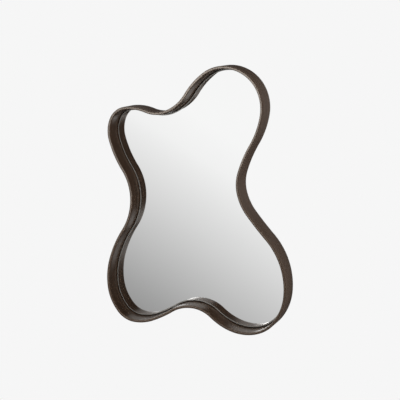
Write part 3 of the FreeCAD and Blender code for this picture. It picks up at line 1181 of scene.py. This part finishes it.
@dataclass(frozen=True)
class Viewpoint:
    """The camera, where the photograph was taken from."""

    azimuth: float = 23.003
    elevation: float = 10.695
    distance: float = 2.9022
    target: Point = (-0.00461, 0.0, -0.00864)
    focal_pixels: float = 1008.8
    image_width: int = 400
    sensor: float = 36.0

    def build(self) -> None:
        """Place the camera on a ball round its target, by its two angles."""
        turn, rise = math.radians(self.azimuth), math.radians(self.elevation)
        back = np.array([math.sin(turn) * math.cos(rise), -math.cos(turn) * math.cos(rise), math.sin(rise)])
        camera = bpy.data.cameras.new("camera")
        camera.sensor_width = self.sensor
        camera.sensor_fit = "HORIZONTAL"
        camera.lens = self.focal_pixels * self.sensor / self.image_width
        camera.clip_end = 100.0
        holder = bpy.data.objects.new("camera", camera)
        holder.matrix_world = look_matrix(np.array(self.target) + back * self.distance, back)
        bpy.context.scene.collection.objects.link(holder)
        bpy.context.scene.camera = holder


@dataclass(frozen=True)
class SoftBox:
    """A large soft lamp, which gloss doesn't show."""

    name: str
    place: Point
    aim: Point
    size: tuple[float, float]
    power: float

    def build(self) -> None:
        """Place the lamp so that its face looks at the aim."""
        light = bpy.data.lights.new(self.name, "AREA")
        light.shape = "RECTANGLE"
        light.size, light.size_y = self.size
        light.energy = self.power
        lamp = bpy.data.objects.new(self.name, light)
        lamp.visible_glossy = False
        place = np.array(self.place)
        lamp.matrix_world = look_matrix(place, place - np.array(self.aim))
        bpy.context.scene.collection.objects.link(lamp)


class Measure(Enum):
    """What a direction in the surroundings is measured by.

    Its three parts, its distance from the Y axis, and how far it leans to the upper right.
    """

    RIGHT = 0
    BACK = 1
    UP = 2
    ASIDE = 3
    SLOPE = 4


@dataclass(frozen=True)
class Fade:
    """A change of brightness over one measure, from start at low to end at high, clamped."""

    over: Measure
    low: float
    high: float
    start: float = 0.0
    end: float = 1.0


@dataclass(frozen=True)
class Window:
    """A round soft light in the surroundings: full up to one distance from its middle, gone at another."""

    middle: Point
    full: float
    gone: float
    strength: float


class SkyTree(Tree):
    """The world's node tree, with the measures of the direction that it is seen in."""

    def __init__(self, tree: bpy.types.NodeTree, slope: Point) -> None:
        """Measure the direction.

        Args:
            tree: the world's empty node tree.
            slope: direction of the upper right.
        """
        super().__init__(tree)
        self.direction = self.add("TexCoord").outputs["Object"]
        parts = self.add("SeparateXYZ", {0: self.direction}).outputs
        aside = self.length(self.stretch(self.direction, (1.0, 0.0, 1.0)))
        lean = self.add("VectorMath", {0: self.direction, 1: slope}, operation="DOT_PRODUCT").outputs["Value"]
        self.measures = dict(zip(Measure, (*parts, aside, lean)))

    def fade(self, *fades: Fade) -> Socket:
        """Multiply fades.

        Args:
            fades: one or more fades.

        Returns:
            The product's socket.
        """
        product = None
        for fade in fades:
            value = self.level(self.measures[fade.over], fade.low, fade.high, fade.start, fade.end)
            product = value if product is None else self.math("MULTIPLY", product, value)
        return product

    def glow(self, colour: Colour, strength: object) -> Socket:
        """Light from the surroundings, of one colour."""
        return self.add("Background", {"Color": (*colour, 1.0), "Strength": strength}).outputs[0]


@dataclass(frozen=True)
class Surroundings:
    """The world: the plain backdrop to the camera, a studio to gloss, and an even light to all else.

    A sharp reflection, as in the glass, sees a pale sky that greys towards the lower left. A soft one, as in
    lacquer and zinc, sees a dim room with a soft panel in front, light from behind and four windows.
    """

    even: float = 0.38
    slope: Point = (0.559, 0.0, 0.829)
    grey_run: Fade = Fade(Measure.SLOPE, -0.56, -0.26)
    greys: tuple[Range, ...] = (
        (0.0, 0.03), (0.317, 0.377), (0.563, 0.695), (0.75, 0.92), (0.85, 0.963), (1.0, 0.963),
    )
    sides: tuple[Fade, ...] = (
        Fade(Measure.ASIDE, 0.54, 0.64, 0.33, 1.0), Fade(Measure.SLOPE, -0.75, 0.0, 0.62, BACKDROP[0]),
    )
    low_tone: Fade = Fade(Measure.UP, -0.5, 0.2, 0.62, 0.94)
    left_tone: Fade = Fade(Measure.RIGHT, 0.05, -0.2)
    panel: tuple[Fade, ...] = (
        Fade(Measure.BACK, -0.15, -0.62), Fade(Measure.RIGHT, -0.01, -0.14),
        Fade(Measure.RIGHT, -0.58, -0.50), Fade(Measure.UP, -0.24, -0.08, 0.0, 0.9),
        Fade(Measure.UP, 0.04, 0.20, 1.0, 0.5), Fade(Measure.UP, 0.62, 0.50),
    )
    room: tuple[Fade, ...] = (
        Fade(Measure.BACK, -0.2, 0.3, 0.03, 0.05), Fade(Measure.UP, 0.0, 0.25, 1.0, 0.35),
        Fade(Measure.UP, -0.42, -0.30, 0.45, 1.0),
    )
    straight_behind: Fade = Fade(Measure.ASIDE, 0.30, 0.18)
    round_sides: Fade = Fade(Measure.ASIDE, 0.50, 0.60)
    rear_light: Fade = Fade(Measure.BACK, 0.0, 0.4, 0.0, 0.5)
    windows: tuple[Window, ...] = (
        Window((-0.39, -0.92, -0.02), 0.04, 0.14, 5.0),
        Window((-0.42, -0.90, -0.12), 0.04, 0.14, 1.0),
        Window((-0.78, -0.45, 0.42), 0.15, 0.45, 2.5),
        Window((0.15, -0.90, -0.40), 0.06, 0.20, 0.6),
    )
    # Ray Depth is 2 after one reflection, and this range is 1 up to there and 0 past it.
    one_reflection: Range = (2.6, 2.4)

    def sharp(self, sky: SkyTree) -> Socket:
        """Brightness in a sharp reflection: greys along the slope or pale sides, and a tone over both.

        Args:
            sky: the world's tree.

        Returns:
            The brightness's socket.
        """
        ramp = sky.add("ValToRGB", {0: sky.fade(self.grey_run)})
        elements = ramp.color_ramp.elements
        while len(elements) < len(self.greys):
            elements.new(0.5)
        for element, (place, shade) in zip(elements, self.greys):
            element.position = place
            element.color = (shade, shade, shade, 1.0)
        bright = sky.math("MAXIMUM", ramp.outputs[0], sky.fade(*self.sides))
        tone = sky.math("MAXIMUM", sky.fade(self.low_tone), sky.fade(self.left_tone))
        return sky.math("MULTIPLY", bright, tone)

    def soft(self, sky: SkyTree) -> Socket:
        """Brightness in a soft reflection: the brightest of panel, room and rear light, and the windows.

        Args:
            sky: the world's tree.

        Returns:
            The brightness's socket.
        """
        rear = sky.math("MAXIMUM", sky.fade(self.straight_behind), sky.fade(self.round_sides))
        rear = sky.math("MULTIPLY", rear, sky.fade(self.rear_light))
        total = sky.math("MAXIMUM", sky.fade(*self.room), rear)
        total = sky.math("MAXIMUM", sky.fade(*self.panel), total)
        for window in self.windows:
            away = sky.add("VectorMath", {0: sky.direction, 1: window.middle}, operation="DISTANCE")
            light = sky.level(away.outputs["Value"], window.gone, window.full, 0.0, window.strength)
            total = sky.math("ADD", total, light)
        return total

    def build(self) -> None:
        """Sort the rays by what they are, and give each kind its own light."""
        world = bpy.data.worlds.new("surroundings")
        bpy.context.scene.world = world
        sky = SkyTree(empty_nodes(world), self.slope)
        path = sky.add("LightPath").outputs
        once = sky.level(path["Ray Depth"], *self.one_reflection)
        mirrored = sky.math("MULTIPLY", path["Is Singular Ray"], once)
        gloss = sky.choose(mirrored, sky.glow(WHITE, self.soft(sky)), sky.glow(WHITE, self.sharp(sky)))
        hidden = sky.choose(path["Is Glossy Ray"], sky.glow(WHITE, self.even), gloss)
        seen = sky.math("MAXIMUM", path["Is Camera Ray"], path["Is Transmission Ray"])
        sky.add("OutputWorld", {0: sky.choose(seen, hidden, sky.glow(BACKDROP, 1.0))})


@dataclass(frozen=True)
class Floor:
    """A plain pale floor below the mirror, which catches its shadow and isn't seen in gloss."""

    level: float = -0.9
    extent: float = 6.0
    points: int = 25
    grey: Colour = (0.8, 0.8, 0.8)
    stretch: Point = (1.0, 1.6, 0.0)
    fade: tuple[float, float, float, float] = (0.4, 0.9, 0.55, 1.0)

    def dress(self) -> Material:
        """A matt grey that fades, for the camera, into the backdrop's own colour away from the middle.

        Returns:
            The material.
        """
        material = bpy.data.materials.new("pale_floor")
        tree = Tree(empty_nodes(material))
        away = tree.length(tree.stretch(tree.add("TexCoord").outputs["Object"], self.stretch))
        camera = tree.add("LightPath").outputs["Is Camera Ray"]
        share = tree.math("MULTIPLY", camera, tree.level(away, *self.fade))
        matt = tree.add("BsdfDiffuse", {"Color": (*self.grey, 1.0)}).outputs[0]
        plain = tree.add("Emission", {"Color": (*BACKDROP, 1.0), "Strength": 1.0}).outputs[0]
        tree.add("OutputMaterial", {0: tree.choose(share, matt, plain)})
        return material

    def build(self) -> None:
        """A flat grid of points."""
        axis = np.linspace(-self.extent, self.extent, self.points)
        x, y = np.meshgrid(axis, axis, indexing="ij")
        shell = Shell()
        shell.add_grid(np.stack([x, y, np.full_like(x, self.level)], axis=-1), (False, False))
        floor = shell.build("floor", [self.dress()])
        floor.visible_glossy = False


@dataclass(frozen=True)
class Studio:
    """Camera, surroundings, floor and lamps."""

    camera: Viewpoint = Viewpoint()
    world: Surroundings = Surroundings()
    floor: Floor = Floor()
    lamps: tuple[SoftBox, ...] = (
        SoftBox("key", (-1.9, -2.6, 1.3), (0.0, 0.0, 0.05), (1.6, 1.6), 3.0),
        SoftBox("fill", (2.9, -0.9, 0.9), (0.0, 0.0, 0.0), (1.4, 1.6), 21.0),
        SoftBox("behind", (-2.0, 2.0, 0.6), (0.0, 0.0, 0.0), (1.8, 1.8), 26.0),
    )

    def build(self) -> None:
        """Build the whole studio."""
        for part in (self.camera, self.world, self.floor, *self.lamps):
            part.build()
        bpy.context.scene.view_settings.view_transform = "Standard"
        LOG.info("studio: %d lamps", len(self.lamps))


def main() -> None:
    """Build every sub-assembly in order."""
    logging.basicConfig(level=logging.INFO, format="%(name)s: %(message)s")
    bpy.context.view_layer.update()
    outline = Outline()
    finishes = Finishes()
    BentHoop(outline).build(finishes)
    GlassPane(outline).build(finishes)
    BackLayers().dress(finishes)
    AngleClips(outline).build(finishes)
    Hangers().build(finishes)
    Studio().build()


if __name__ == "__main__":
    main()
